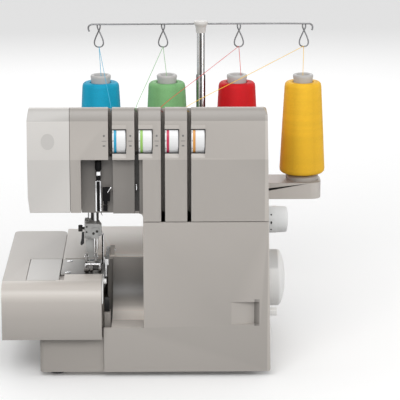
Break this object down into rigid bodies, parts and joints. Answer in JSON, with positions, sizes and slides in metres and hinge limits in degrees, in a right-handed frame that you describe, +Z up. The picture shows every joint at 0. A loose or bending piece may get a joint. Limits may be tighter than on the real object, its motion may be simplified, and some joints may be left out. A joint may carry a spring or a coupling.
{
  "type": "serger overlock machine",
  "caption": "Free-standing overlock sewing machine with swing-out cloth plate, tipping looper cover, tension dials, thread cones on a rear tray and a telescopic thread mast.",
  "frame": {"origin": "under the middle of the machine's box, on the table", "axes": "+X to the operator's right, +Y away from the operator, +Z up"},
  "size_m": [0.3752, 0.2708, 0.365],
  "materials": {
    "body_plastic": "moulded, fine satin grain",
    "pale_plastic": "moulded, fine satin grain",
    "base_plastic": "moulded, fine satin grain",
    "white_plastic": "smooth, slight gloss",
    "black_plastic": "moulded, satin",
    "rubber_black": "matt",
    "cast_metal": "sand cast, bare",
    "chrome_metal": "polished",
    "bright_steel": "ground",
    "thread_blue": "wound polyester thread",
    "thread_green": "wound polyester thread",
    "thread_red": "wound polyester thread",
    "thread_yellow": "wound polyester thread"
  },
  "bodies": {
    "frame": {"base_shell": "base_plastic", "foot_1": "rubber_black", "foot_2": "rubber_black", "foot_3": "rubber_black", "foot_4": "rubber_black", "front_cover": "body_plastic", "rear_shell": "body_plastic", "face_cover": "pale_plastic", "arm_cover": "body_plastic", "needle_plate": "bright_steel", "frame_casting": "cast_metal", "drive_belt": "rubber_black", "motor": "cast_metal", "mains_inlet": "black_plastic", "needle_thread_guide": "black_plastic", "lower_knife": "bright_steel", "spool_tray": "body_plastic", "mast_outer": "chrome_metal", "thread_1": "thread_blue", "thread_2": "thread_green", "thread_3": "thread_red", "thread_4": "thread_yellow"},
    "cloth_plate": {"cloth_plate_top": "body_plastic", "cloth_plate_front": "body_plastic", "cloth_plate_edge": "white_plastic", "cloth_plate_inset": "body_plastic"},
    "cover_rod": {"looper_cover_rod": "bright_steel"},
    "looper_cover": {"looper_cover": "body_plastic"},
    "stitch_knob": {"stitch_length_knob": "white_plastic"},
    "main_shaft": {"main_shaft": "bright_steel", "handwheel": "pale_plastic"},
    "motor_shaft": {"motor_pulley": "bright_steel"},
    "power_button": {"power_button": "pale_plastic"},
    "needle_bar": {"needle_bar": "chrome_metal", "needle_clamp": "chrome_metal"},
    "presser_bar": {"presser_bar": "chrome_metal", "foot_holder": "bright_steel"},
    "presser_foot": {"presser_foot": "chrome_metal"},
    "foot_release": {"foot_release_lever": "black_plastic"},
    "lifter": {"lifter_lever": "body_plastic"},
    "upper_knife": {"upper_knife": "bright_steel"},
    "upper_looper": {"upper_looper": "bright_steel"},
    "lower_looper": {"lower_looper": "bright_steel"},
    "feed_dog": {"feed_dog": "bright_steel"},
    "edge_lever": {"edge_lever": "black_plastic"},
    "mast": {"mast_inner": "chrome_metal", "mast_cap": "pale_plastic", "guide_bar": "bright_steel"},
    "dial_1": {"tension_dial_1": "white_plastic"},
    "cone_1": {"cone_core_1": "pale_plastic", "cone_thread_1": "thread_blue"},
    "dial_2": {"tension_dial_2": "white_plastic"},
    "cone_2": {"cone_core_2": "pale_plastic", "cone_thread_2": "thread_green"},
    "dial_3": {"tension_dial_3": "white_plastic"},
    "cone_3": {"cone_core_3": "pale_plastic", "cone_thread_3": "thread_red"},
    "dial_4": {"tension_dial_4": "white_plastic"},
    "cone_4": {"cone_core_4": "pale_plastic", "cone_thread_4": "thread_yellow"}
  },
  "joints": [
    {"name": "cloth_plate_swing", "type": "hinge", "parent": "frame", "child": "cloth_plate", "pos_m": [-0.1351, 0.0866, 0.08], "axis": [0, 0, -1], "range_deg": [0, 50]},
    {"name": "looper_cover_tip", "type": "hinge", "parent": "frame", "child": "cover_rod", "pos_m": [0.0199, -0.1199, 0.015], "axis": [1, 0, 0], "range_deg": [0, 80]},
    {"name": "looper_cover_slide", "type": "slide", "parent": "cover_rod", "child": "looper_cover", "axis": [1, 0, 0], "range_m": [0, 0.006]},
    {"name": "handwheel_turn", "type": "hinge", "parent": "frame", "child": "main_shaft", "pos_m": [0.0599, -0.0074, 0.0808], "axis": [1, 0, 0], "continuous": true},
    {"name": "motor_turn", "type": "hinge", "parent": "frame", "child": "motor_shaft", "pos_m": [0.0799, 0.0356, 0.048], "axis": [1, 0, 0], "continuous": true},
    {"name": "needle_bar_slide", "type": "slide", "parent": "frame", "child": "needle_bar", "axis": [0, 0, 1], "range_m": [-0.02, 0.007]},
    {"name": "presser_bar_lift", "type": "slide", "parent": "frame", "child": "presser_bar", "axis": [0, 0, 1], "range_m": [0, 0.006]},
    {"name": "presser_foot_tilt", "type": "hinge", "parent": "presser_bar", "child": "presser_foot", "pos_m": [-0.0901, -0.0594, 0.1225], "axis": [1, 0, 0], "range_deg": [-3, 2]},
    {"name": "foot_release_press", "type": "hinge", "parent": "presser_bar", "child": "foot_release", "pos_m": [-0.0991, -0.0614, 0.149], "axis": [0, 1, 0], "range_deg": [0, 12], "stiffness_Nm_per_rad": 0.02},
    {"name": "lifter_turn", "type": "hinge", "parent": "frame", "child": "lifter", "pos_m": [-0.1181, 0.0726, 0.1856], "axis": [1, 0, 0], "range_deg": [0, 30]},
    {"name": "upper_knife_swing", "type": "hinge", "parent": "frame", "child": "upper_knife", "pos_m": [-0.0701, -0.0199, 0.1184], "axis": [1, 0, 0], "range_deg": [-8, 0]},
    {"name": "upper_looper_swing", "type": "hinge", "parent": "frame", "child": "upper_looper", "pos_m": [-0.0971, -0.0764, 0.066], "axis": [0, 1, 0], "range_deg": [-5, 5]},
    {"name": "lower_looper_swing", "type": "hinge", "parent": "frame", "child": "lower_looper", "pos_m": [-0.0931, -0.0634, 0.06], "axis": [0, 1, 0], "range_deg": [-5, 5]},
    {"name": "feed_dog_stroke", "type": "slide", "parent": "frame", "child": "feed_dog", "axis": [0, 1, 0], "range_m": [-0.0015, 0.0015]},
    {"name": "edge_lever_turn", "type": "hinge", "parent": "frame", "child": "edge_lever", "pos_m": [-0.0713, -0.1014, 0.079], "axis": [0, 0, 1], "range_deg": [-15, 0]},
    {"name": "stitch_length_turn", "type": "hinge", "parent": "frame", "child": "stitch_knob", "pos_m": [0.1199, -0.0774, 0.17], "axis": [1, 0, 0], "range_deg": [-135, 135]},
    {"name": "power_button_press", "type": "slide", "parent": "frame", "child": "power_button", "axis": [1, 0, 0], "range_m": [-0.0025, 0], "stiffness_N_per_m": 300},
    {"name": "tension_dial_1_turn", "type": "hinge", "parent": "frame", "child": "dial_1", "pos_m": [-0.0559, -0.1086, 0.2726], "axis": [1, 0, 0], "range_deg": [-130, 130]},
    {"name": "tension_dial_2_turn", "type": "hinge", "parent": "frame", "child": "dial_2", "pos_m": [-0.0271, -0.1086, 0.2726], "axis": [1, 0, 0], "range_deg": [-130, 130]},
    {"name": "tension_dial_3_turn", "type": "hinge", "parent": "frame", "child": "dial_3", "pos_m": [0.0017, -0.1086, 0.2726], "axis": [1, 0, 0], "range_deg": [-130, 130]},
    {"name": "tension_dial_4_turn", "type": "hinge", "parent": "frame", "child": "dial_4", "pos_m": [0.0305, -0.1086, 0.2726], "axis": [1, 0, 0], "range_deg": [-130, 130]},
    {"name": "cone_1_spin", "type": "hinge", "parent": "frame", "child": "cone_1", "pos_m": [-0.0825, 0.1081, 0.23], "axis": [0, 0, 1], "continuous": true},
    {"name": "cone_2_spin", "type": "hinge", "parent": "frame", "child": "cone_2", "pos_m": [-0.0032, 0.1081, 0.23], "axis": [0, 0, 1], "continuous": true},
    {"name": "cone_3_spin", "type": "hinge", "parent": "frame", "child": "cone_3", "pos_m": [0.0809, 0.1081, 0.23], "axis": [0, 0, 1], "continuous": true},
    {"name": "cone_4_spin", "type": "hinge", "parent": "frame", "child": "cone_4", "pos_m": [0.1603, 0.1081, 0.23], "axis": [0, 0, 1], "continuous": true},
    {"name": "mast_slide", "type": "slide", "parent": "frame", "child": "mast", "axis": [0, 0, 1], "range_m": [-0.026, 0.06], "deforming": ["thread_1", "thread_2", "thread_3", "thread_4"]}
  ],
  "couplings": [
    {"joint": "motor_turn", "follows": "handwheel_turn", "ratio": 4},
    {"joint": "lifter_turn", "follows": "presser_bar_lift", "rad_per_m": 87.26}
  ]
}
